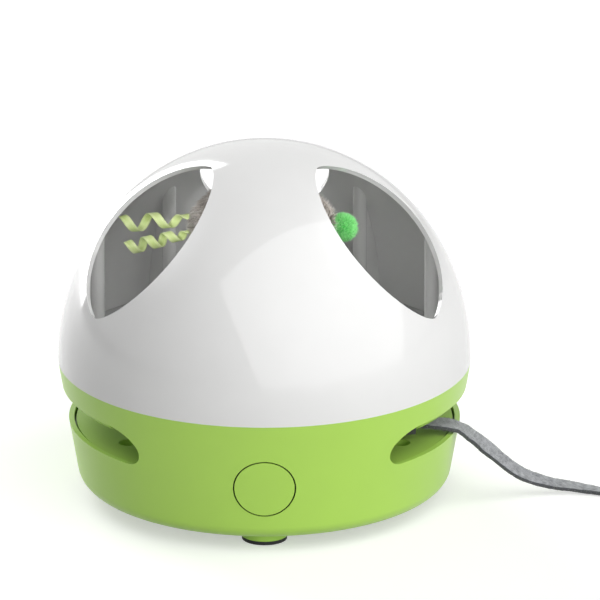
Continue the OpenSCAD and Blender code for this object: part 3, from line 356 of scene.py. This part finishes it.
hair_mesh = grow_fibres("tail_fuzz", roots - 0.2 * MM * normals, halves, tips,
                        rng.uniform(0.08, 0.14, HAIRS) * MM, rng)
tail_fuzz = place_mesh("tail_fuzz", hair_mesh, grey_felt, "tail_rotor")

# %% [markdown]
# ## Ribbon
# The two curled ribbons are the kind used for gift wrapping, drawn over a blade so that they spring
# into curls. The cloth is thin and pale green with fine ribs along its length, which shine a little.
# The ribs follow the ribbon, so they are drawn on its own UV map and not on its place in space.

# %% Ribbon cloth
ribbon_cloth, tree, shader, place = new_finish("ribbed_gift_ribbon", Roughness=0.55, Sheen_Weight=0.2)
own = add_node(tree, "ShaderNodeUVMap", uv_map="along_strip").outputs[0]
ribs = add_node(tree, "ShaderNodeTexWave", {"Scale": 5.0, "Distortion": 0.6, "Detail": 1.0},
                {"Vector": own}, bands_direction="Y")
shade = add_node(tree, "ShaderNodeTexNoise", {"Scale": per_mm(5.0), "Detail": 2.0}, {"Vector": place})
both = add_node(tree, "ShaderNodeMix", {"Factor": 0.45}, {2: shade.outputs[0], 3: ribs.outputs[1]})
dyed = ramp_of(tree, both.outputs[0], (0.2, "#CBE08A"), (0.75, "#EAF6BE"))
ridge = add_node(tree, "ShaderNodeBump", {"Strength": 0.3, "Distance": 0.1 * MM},
                 {"Height": ribs.outputs[1]})
tree.links.new(dyed, shader.inputs["Base Color"])
tree.links.new(ridge.outputs[0], shader.inputs["Normal"])
print("finish:", ribbon_cloth.name)

# %% [markdown]
# ## The curled ribbons
# A curl is a helix: it goes round while it goes along. Its radius grows from the root, where the ribbon
# is sewn into the rump. The flat of the ribbon faces away from the helix, and its width lies along it.

# %% Curled ribbons
RIBBON_W, RIBBON_T, RIBBON_POINTS, STEPS_PER_CURL = 4.6 * MM, 0.6 * MM, 16, 40


def curl_point(start, end, radius, curls, s):
    """Point of a curl at a share s of its length."""
    ahead = (end - start).normalized()
    side = Vector((0, 0, 1)).cross(ahead).normalized()
    up = ahead.cross(side)
    a = 2 * math.pi * curls * s
    wide = radius * (0.25 + 0.75 * math.sin(math.pi / 2 * min(1, max(0, s) / 0.6)))
    return start + (end - start) * s + wide * (side * math.cos(a) + up * math.sin(a))


def curled_ribbon(name, start, end, radius, curls, node):
    """A ribbon that curls from its start to its end, in millimetres, in place of a CAD node."""
    start, end, radius = Vector(start) * MM, Vector(end) * MM, radius * MM
    count = round(STEPS_PER_CURL * curls)
    line = [curl_point(start, end, radius, curls, k / count) for k in range(count + 1)]
    across = (end - start).normalized()
    frames = []
    for k, here in enumerate(line):
        step = 0.25 / count
        ahead = (curl_point(start, end, radius, curls, k / count + step)
                 - curl_point(start, end, radius, curls, k / count - step)).normalized()
        wide = (across - ahead * across.dot(ahead)).normalized()
        frames.append(frame_at(here, wide, ahead.cross(wide), 0.3 + 0.7 * min(1, k / count / 0.12)))
    bm = sweep(flat_outline(RIBBON_W, RIBBON_T, RIBBON_POINTS, 0.5), frames)
    uv = bm.loops.layers.uv.new("along_strip")
    bm.verts.ensure_lookup_table()
    for face in bm.faces:
        for loop in face.loops:
            k, i = divmod(loop.vert.index, RIBBON_POINTS)
            loop[uv].uv = (k / count * curls, abs(math.cos(2 * math.pi * (i + 0.5) / RIBBON_POINTS)))
    piece = finish_piece(name, bm, ribbon_cloth, "mouse_rotor")
    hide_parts(node)
    print(name, "length:", round(route_length(line) / MM), "mm")


curled_ribbon("upper_ribbon", (-37.71, 2.5, 152), (-75.06, 3, 149), 4.4, 2.25, "ribbon_upper")
curled_ribbon("lower_ribbon", (-37.71, -2.5, 146), (-72.06, -4, 138), 3.6, 3.25, "ribbon_lower")

# %% [markdown]
# ## Plush fur
# The plush is a knitted backing with a pile of fine synthetic fibres, grey brown with dark roots and
# pale tips, combed back from the nose. The eyes sit in a patch of darker fur. The same colours go on
# the skin under the pile, because it shows between the fibres.

# %% Plush fur
EYES = [Vector((21, side * 15.2, 154)) * MM for side in (-1, 1)]


def fur_finish(name, dark, middle, pale, patch):
    """Fur from dark roots to pale tips, streaked, with a dark patch round each eye."""
    material, tree, shader, place = new_finish(name, Roughness=0.85, Sheen_Weight=0.3,
                                               Sheen_Roughness=0.5)
    own = add_node(tree, "ShaderNodeAttribute", attribute_name="fibre").outputs["Fac"]
    along = add_node(tree, "ShaderNodeAttribute", attribute_name="along").outputs["Fac"]
    comb = add_node(tree, "ShaderNodeMapping", {"Scale": (0.4, 1.0, 1.0)}, {"Vector": place})
    streak = add_node(tree, "ShaderNodeTexNoise",
                      {"Scale": per_mm(4.0), "Detail": 3.0, "Roughness": 0.6},
                      {"Vector": comb.outputs[0]}).outputs[0]
    spread = add_node(tree, "ShaderNodeMath", {1: 0.45}, {0: own}, operation="MULTIPLY").outputs[0]
    reach = add_node(tree, "ShaderNodeMath", {1: 0.45}, {0: along, 2: spread},
                     operation="MULTIPLY_ADD").outputs[0]
    swing = add_node(tree, "ShaderNodeMath", {1: 1.5, 2: -0.75}, {0: streak},
                     operation="MULTIPLY_ADD").outputs[0]
    total = add_node(tree, "ShaderNodeMath", None, {0: reach, 1: swing}).outputs[0]
    fur = ramp_of(tree, total, (0.0, dark), (0.85, pale), (0.4, middle))
    near = None
    for eye in EYES:
        gap = add_node(tree, "ShaderNodeVectorMath", {1: eye}, {0: place},
                       operation="DISTANCE").outputs["Value"]
        near = gap if near is None else add_node(tree, "ShaderNodeMath", None, {0: near, 1: gap},
                                                 operation="MINIMUM").outputs[0]
    keep = add_node(tree, "ShaderNodeMapRange", {"From Min": 3.5 * MM, "From Max": 9 * MM},
                    {"Value": near})
    shown = add_node(tree, "ShaderNodeMix", {6: colour(patch)}, {0: keep.outputs[0], 7: fur},
                     data_type="RGBA")
    tree.links.new(shown.outputs[2], shader.inputs["Base Color"])
    return material


plush_fur = fur_finish("synthetic_plush_pile", "#8A8078", "#D2C7BD", "#FBF6F1", "#1C1A19")
print("finish:", plush_fur.name)

# %% [markdown]
# ## The mouse's body
# The stuffed body is an egg lying on its side: round at the rump, blunt at the snout, a little flat
# under the belly. A sphere with its poles at rump and snout has all the rings needed, and moving each
# ring to the size of the body there gives the same form as the CAD solid.

# %% Mouse body
MOUSE_L, MOUSE_W, MOUSE_H, MOUSE_Z, RUMP_X = 74, 44, 45, 149, -38.11


def swell(t):
    """Half size of the body at a share of its length from the rump, as a share of the widest."""
    return math.sin(math.pi * t ** 0.893) ** 0.52


body_bm = bmesh.new()
bmesh.ops.create_uvsphere(body_bm, u_segments=64, v_segments=40, radius=1)
settle_faces(body_bm)
for v in body_bm.verts:
    t = 0.004 + 0.992 * (v.co.z + 1) / 2
    a = math.atan2(v.co.y, v.co.x)
    flat = 0.9 if math.sin(a) < 0 else 1
    v.co = Vector((RUMP_X + t * MOUSE_L, swell(t) * MOUSE_W / 2 * math.cos(a),
                   MOUSE_Z + swell(t) * MOUSE_H / 2 * math.sin(a) * flat)) * MM
mouse_body = finish_piece("mouse_body_skin", body_bm, plush_fur, "mouse_rotor")
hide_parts("mouse_body")

# %% [markdown]
# ## The pile
# Each fibre starts just under the skin, stands up from it and leans back towards the rump. Fibres lie
# in small tufts, so neighbours share most of their lean. On the face it stands out more, and it is cut
# short round the eyes, which would be lost in it.

# %% Pile of the plush
FIBRES = 19500
BARE_ROUND_EYE = 3.6
rng = np.random.default_rng(11)
roots, normals = scatter(mouse_body.data, FIBRES, rng)
to_eye = np.min([np.linalg.norm(roots - np.array(eye), axis=1) for eye in EYES], axis=0) / MM
roots, normals, to_eye = (x[to_eye > BARE_ROUND_EYE] for x in (roots, normals, to_eye))
back = np.array([-1.0, 0.0, -0.25])
comb = back - normals * (normals @ back)[:, None]
comb /= np.linalg.norm(comb, axis=1, keepdims=True) + 1e-9
tuft = np.array([noise.noise_vector(Vector(p) / (3.0 * MM)) for p in roots])
face = np.clip((roots[:, 0] / MM - RUMP_X) / MOUSE_L / 0.25 - 2.6, 0, 1)
lean = (0.62 * normals + (0.75 - 0.5 * face)[:, None] * comb + 0.5 * tuft
        + 0.12 * rng.normal(size=roots.shape))
lean /= np.linalg.norm(lean, axis=1, keepdims=True)
long = (5.5 + 1.2 * face) * np.clip(to_eye / 10, 0.45, 1) * MM * rng.uniform(0.75, 1.15, len(roots))
inner = roots - 0.4 * MM * normals
middles = inner + lean * long[:, None] * 0.55
tips = middles + (lean + (0.45 - 0.3 * face)[:, None] * comb - 0.25 * normals) * long[:, None] * 0.45
pile_mesh = grow_fibres("mouse_pile", inner, middles, tips,
                        rng.uniform(0.3, 0.52, len(roots)) * MM, rng)
mouse_pile = place_mesh("mouse_pile", pile_mesh, plush_fur, "mouse_rotor")

# %% [markdown]
# ## Pompom nose
# The nose is a small pompom of bright green yarn: short fibres that all stand straight out from the
# middle, trimmed to a ball. A small rough ball fills the middle, where no light comes.

# %% Pompom nose
pompom_yarn, tree, shader, place = new_finish("bright_pompom_yarn", Roughness=0.8, Sheen_Weight=0.3)
own = add_node(tree, "ShaderNodeAttribute", attribute_name="fibre").outputs["Fac"]
along = add_node(tree, "ShaderNodeAttribute", attribute_name="along").outputs["Fac"]
reach = add_node(tree, "ShaderNodeMath", {1: 0.5}, {0: along, 2: own},
                 operation="MULTIPLY_ADD").outputs[0]
tree.links.new(ramp_of(tree, reach, (0, "#3FD656"), (1, "#A2FF9E")), shader.inputs["Base Color"])
NOSE, NOSE_R = Vector((41.77, 0, 148)) * MM, 5.8 * MM
nose_bm = bmesh.new()
bmesh.ops.create_icosphere(nose_bm, subdivisions=4, radius=NOSE_R)
for v in nose_bm.verts:
    v.co = v.co * (1 + 0.05 * noise.noise(v.co / (1.2 * MM))) + NOSE
nose = finish_piece("nose_middle", nose_bm, pompom_yarn, "mouse_rotor")
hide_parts("mouse_nose")
YARNS = 4200
rng = np.random.default_rng(5)
roots, normals = scatter(nose.data, YARNS, rng)
lean = normals + 0.22 * rng.normal(size=roots.shape)
lean /= np.linalg.norm(lean, axis=1, keepdims=True)
long = rng.uniform(1.8, 2.8, YARNS)[:, None] * MM
yarn_mesh = grow_fibres("nose_yarn", roots - 0.4 * MM * normals, roots + 0.5 * lean * long,
                        roots + (lean + 0.15 * rng.normal(size=roots.shape)) * long,
                        rng.uniform(0.28, 0.42, YARNS) * MM, rng)
nose_yarn = place_mesh("nose_yarn", yarn_mesh, pompom_yarn, "mouse_rotor")

# %% [markdown]
# ## Felt ears
# Each ear is a round of thin green felt, pinched at its foot so that it folds into a cup. A square grid
# is drawn out to a disc and folded about a crease, and the Solidify modifier gives it the felt's
# thickness.

# %% Green felt
green_felt, tree, shader, place = new_finish("thin_green_felt", Roughness=0.9, Sheen_Weight=0.3)
blotch = add_node(tree, "ShaderNodeTexNoise", {"Scale": per_mm(1.2), "Detail": 6.0, "Roughness": 0.7},
                  {"Vector": place})
dyed = ramp_of(tree, blotch.outputs[0], (0.3, "#74D030"), (0.7, "#A2EC58"))
fuzz = add_node(tree, "ShaderNodeBump", {"Strength": 0.4, "Distance": 0.2 * MM},
                {"Height": blotch.outputs[0]})
tree.links.new(dyed, shader.inputs["Base Color"])
tree.links.new(fuzz.outputs[0], shader.inputs["Normal"])
print("finish:", green_felt.name)

# %% Ears
EAR_L, EAR_T, EAR_X, CREASE_R = 19, 1.2, 3, 0.8
EAR_TILT, EAR_FOLD = math.radians(50), math.radians(38)
ear_share = (EAR_X - RUMP_X) / MOUSE_L
for side in (-1, 1):
    bm = bmesh.new()
    bmesh.ops.create_grid(bm, x_segments=24, y_segments=24, size=1)
    for v in bm.verts:
        across = v.co.x * math.sqrt(1 - v.co.y ** 2 / 2) * EAR_L / 2
        along = v.co.y * math.sqrt(1 - v.co.x ** 2 / 2) * EAR_L / 2 + EAR_L / 2
        wide = math.hypot(across, CREASE_R) - CREASE_R
        v.co = (math.copysign(wide * math.cos(EAR_FOLD), across), -wide * math.sin(EAR_FOLD), along)
    crease = Vector((-0.5, side * 0.5, 0.7)).normalized()
    opening = Vector((0.45, side * 0.8, -0.2))
    closed = (crease * opening.dot(crease) - opening).normalized()
    a = math.pi / 2 - side * EAR_TILT
    foot = Vector((EAR_X, swell(ear_share) * MOUSE_W / 2 * math.cos(a),
                   MOUSE_Z + swell(ear_share) * MOUSE_H / 2 * math.sin(a))) - crease
    turn = Matrix((closed.cross(crease), closed, crease)).transposed().to_4x4()
    settle = Matrix.Scale(MM, 4) @ Matrix.Translation(foot) @ turn
    bmesh.ops.transform(bm, matrix=settle, verts=bm.verts)
    ear = finish_piece("right_ear" if side < 0 else "left_ear", bm, green_felt, "mouse_rotor")
    felt = ear.modifiers.new("felt", "SOLIDIFY")
    felt.thickness = EAR_T * MM
    felt.offset = 0
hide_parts("mouse_ears")

# %% [markdown]
# ## Moulded plastics
# The shells are injection moulded ABS. It is smooth, yet never perfectly even: the mould leaves a very
# fine grain, the surface waves a little over some centimetres, and its gloss varies with it. A fine
# noise gives the bump, a slow one the gloss, and both stay faint. Narrow gaps, such as the ring round
# the button, get painted shade: the green plastic is painted dark where little of the sky is open to
# it.

# %% Moulded ABS
def moulded(name, shade, rough, grain_mm, bump, gap_shade=False):
    """A moulded plastic with its grain and a slight change of gloss, with painted shade in its gaps if
    asked.
    """
    material, tree, shader, place = new_finish(name, IOR=1.53)
    slow = add_node(tree, "ShaderNodeTexNoise", {"Scale": per_mm(25), "Detail": 2.0},
                    {"Vector": place}).outputs[0]
    grain = add_node(tree, "ShaderNodeTexNoise", {"Scale": per_mm(grain_mm), "Detail": 2.0},
                     {"Vector": place}).outputs[0]
    gloss = add_node(tree, "ShaderNodeMapRange", {"To Min": rough - 0.04, "To Max": rough + 0.04},
                     {"Value": slow}).outputs[0]
    low, high = (Vector(colour(shade)[:3]) * k for k in (0.975, 1.02))
    tint = add_node(tree, "ShaderNodeMix", {6: (*low, 1), 7: (*high, 1)}, {0: slow},
                    data_type="RGBA").outputs[2]
    relief = add_node(tree, "ShaderNodeBump", {"Strength": bump, "Distance": 0.05 * MM},
                      {"Height": grain})
    if gap_shade:
        # painted shade: the colour goes to dark green where ambient occlusion finds a narrow gap
        open_share = add_node(tree, "ShaderNodeAmbientOcclusion", {"Distance": 2.5 * MM},
                              samples=8).outputs["AO"]
        keep = add_node(tree, "ShaderNodeMapRange", {"From Min": 0.1, "From Max": 0.5},
                        {"Value": open_share})
        tint = add_node(tree, "ShaderNodeMix", {6: colour("#1C2A0C")}, {0: keep.outputs[0], 7: tint},
                        data_type="RGBA").outputs[2]
    tree.links.new(tint, shader.inputs["Base Color"])
    tree.links.new(gloss, shader.inputs["Roughness"])
    tree.links.new(relief.outputs[0], shader.inputs["Normal"])
    return material


green_abs = moulded("light_green_abs", "#BCEA62", 0.34, 0.5, 0.15, gap_shade=True)
deck_abs = moulded("matte_green_abs", "#B4E05E", 0.5, 0.5, 0.2)
dome_abs = moulded("gloss_white_abs", "#F2F2F1", 0.08, 0.6, 0.03)
grey_abs = moulded("matte_grey_abs", "#C8C8C8", 0.45, 0.5, 0.2)
dark_abs = moulded("dark_grey_abs", "#38393B", 0.5, 0.5, 0.2)
acetal = moulded("natural_acetal", "#E6E1D2", 0.4, 0.6, 0.1)
rubber = moulded("black_rubber", "#2A2A2B", 0.8, 0.4, 0.4)
board = moulded("solder_mask_green", "#2C6A3B", 0.35, 0.8, 0.1)
jacket = moulded("plain_cell_jacket", "#4A4F57", 0.3, 1.0, 0.05)
bead = moulded("black_glass_bead", "#0C0C0D", 0.08, 1.0, 0.02)
print("moulded finishes ready")

# %% [markdown]
# ## Metals
# Screws, clips and motors are zinc plated or drawn steel, and the bushes are sintered bronze. They are
# seen through slots and holes, so a fine brushed grain in the roughness is enough.

# %% Steel and bronze
def metal(name, shade, rough):
    """A metal with a fine grain in its gloss."""
    material, tree, shader, place = new_finish(name, Metallic=1.0)
    shader.inputs["Base Color"].default_value = colour(shade)
    grain = add_node(tree, "ShaderNodeTexNoise", {"Scale": per_mm(0.6), "Detail": 4.0},
                     {"Vector": place}).outputs[0]
    gloss = add_node(tree, "ShaderNodeMapRange", {"To Min": rough - 0.1, "To Max": rough + 0.1},
                     {"Value": grain})
    tree.links.new(gloss.outputs[0], shader.inputs["Roughness"])
    return material


steel = metal("zinc_plated_steel", "#BFC1C4", 0.32)
bronze = metal("sintered_bronze", "#C69B5B", 0.45)
print("metals ready")

# %% [markdown]
# ## Finishes of the CAD pieces
# Every CAD piece has the right shape already, so it only changes its material. Pieces of one material
# share it, as they would come from the same bag of granules.

# %% Finishes of the CAD pieces
FINISHES = {
    green_abs: ["base_housing", "bottom_cover", "power_button"],
    deck_abs: ["slot_deck", "battery_door"],
    dome_abs: ["dome_shell"],
    grey_abs: ["dome_floor"],
    dark_abs: ["speaker", "tail_arm", "tail_clip", "switch_plunger", "switch_body", "mouse_stem"],
    acetal: ["drive_plate", "mouse_pinion", "tail_pinion", "mouse_gear", "tail_gear"],
    rubber: ["foot_pads"],
    board: ["control_board", "switch_board"],
    jacket: ["battery_cells"],
    bead: ["mouse_eyes"],
    bronze: ["lower_bush", "upper_bush"],
    steel: ["cover_screws", "battery_door_screw", "battery_contacts", "control_board_screws",
            "deck_screws", "drive_plate_screws", "mouse_motor", "tail_motor", "motor_screws",
            "hub_retainer", "mouse_shaft", "shaft_clip", "dome_screws", "switch_board_screws"],
}
for material, names in FINISHES.items():
    for name in names:
        slots = nodes[name].data.materials
        slots.clear()
        slots.append(material)
bare = set(nodes) - {n for names in FINISHES.values() for n in names}
print("CAD pieces shown by soft ones:", sorted(n for n in bare if nodes[n].hide_render))

# %% [markdown]
# ## Studio
# The white ground of a product photograph would throw so much light back that the dome lost its form.
# So the floor and the world are white only where the camera, or a gloss surface, looks at them, and
# plain grey for the light that they give. The floor keeps part of its shading, and with it the shadow.

# %% Floor and world
scene.view_settings.view_transform = "Standard"


def seen_directly(tree):
    """1 where a ray comes from the camera, a reflection or a clear piece, and 0 for bounced light."""
    path = add_node(tree, "ShaderNodeLightPath").outputs
    both = add_node(tree, "ShaderNodeMath", None, {0: path["Is Camera Ray"], 1: path["Is Glossy Ray"]},
                    operation="MAXIMUM").outputs[0]
    return add_node(tree, "ShaderNodeMath", None, {0: both, 1: path["Is Transmission Ray"]},
                    operation="MAXIMUM").outputs[0]


floor_paint, tree, shader, place = new_finish("pale_studio_floor", Roughness=0.9)
speck = add_node(tree, "ShaderNodeTexNoise", {"Scale": per_mm(30), "Detail": 2.0},
                 {"Vector": place}).outputs[0]
seen = seen_directly(tree)
bounced = add_node(tree, "ShaderNodeMix", {6: colour("#A0A0A0"), 7: colour("#A4A4A4")}, {0: speck},
                   data_type="RGBA")
paint = add_node(tree, "ShaderNodeMix", {7: colour("#DCDCDC")}, {0: seen, 6: bounced.outputs[2]},
                 data_type="RGBA")
tree.links.new(paint.outputs[2], shader.inputs["Base Color"])
shader.inputs["Emission Color"].default_value = (1, 1, 1, 1)
lift = add_node(tree, "ShaderNodeMath", {1: 0.45}, {0: seen}, operation="MULTIPLY")
tree.links.new(lift.outputs[0], shader.inputs["Emission Strength"])
floor_bm = bmesh.new()
bmesh.ops.create_grid(floor_bm, x_segments=2, y_segments=2, size=12)
floor_mesh = bpy.data.meshes.new("studio_floor")
floor_bm.to_mesh(floor_mesh)
floor_bm.free()
floor_mesh.materials.append(floor_paint)
floor = bpy.data.objects.new("studio_floor", floor_mesh)
scene.collection.objects.link(floor)

world = bpy.data.worlds.new("studio")
scene.world = world
world.use_nodes = True
tree = world.node_tree
sky = tree.nodes["Background"]
sky.inputs["Color"].default_value = (1, 1, 1, 1)
level = add_node(tree, "ShaderNodeMapRange", {"To Min": 0.11, "To Max": 1.0},
                 {"Value": seen_directly(tree)})
tree.links.new(level.outputs[0], sky.inputs["Strength"])
print("floor and world ready")

# %% [markdown]
# ## Lamps
# A wide panel in front and to the right gives the dome its long gradient from grey on the left to white
# on the right, and reaches over the crown. A tall lamp behind on the left draws a bright edge there.
# Little of this comes in at the windows, so a narrow spot in front of each shines on the mouse inside.

# %% Lamps
SPOT_DISTANCE = 1.5


def soft_lamp(name, azimuth, distance, height, size, radiance):
    """A panel that faces the toy; azimuths run from the front towards the right."""
    data = bpy.data.lights.new(name, "AREA")
    data.shape = "RECTANGLE"
    data.size, data.size_y = size
    data.energy = radiance * math.pi * size[0] * size[1]
    lamp = bpy.data.objects.new(name, data)
    a = math.radians(azimuth)
    lamp.location = (distance * math.sin(a), -distance * math.cos(a), height)
    lamp.rotation_euler = (Vector((0, 0, 0.1)) - lamp.location).to_track_quat("-Z", "Y").to_euler()
    scene.collection.objects.link(lamp)


def window_spot(name, azimuth, height, target, wide, power):
    """A snooted spot; its beam is so many millimetres wide where it meets its target."""
    data = bpy.data.lights.new(name, "SPOT")
    data.energy = power
    data.shadow_soft_size = 0.02
    data.spot_size = 2 * math.atan(wide * MM / 2 / SPOT_DISTANCE)
    data.spot_blend = 0.8
    lamp = bpy.data.objects.new(name, data)
    a, e = math.radians(azimuth), math.radians(height)
    way = Vector((math.sin(a) * math.cos(e), -math.cos(a) * math.cos(e), math.sin(e)))
    lamp.location = Vector(target) * MM + SPOT_DISTANCE * way
    lamp.rotation_euler = (-way).to_track_quat("-Z", "Y").to_euler()
    scene.collection.objects.link(lamp)


soft_lamp("key_panel", 40, 1.35, 1.15, (4.0, 2.9), 1.57)
soft_lamp("edge_lamp", -145, 1.3, 0.5, (0.9, 1.2), 5.4)
window_spot("left_window_spot", -20, 17, (-45, 0, 150), 52, 55)
window_spot("right_window_spot", 22, 15, (37, 0, 152), 44, 55)
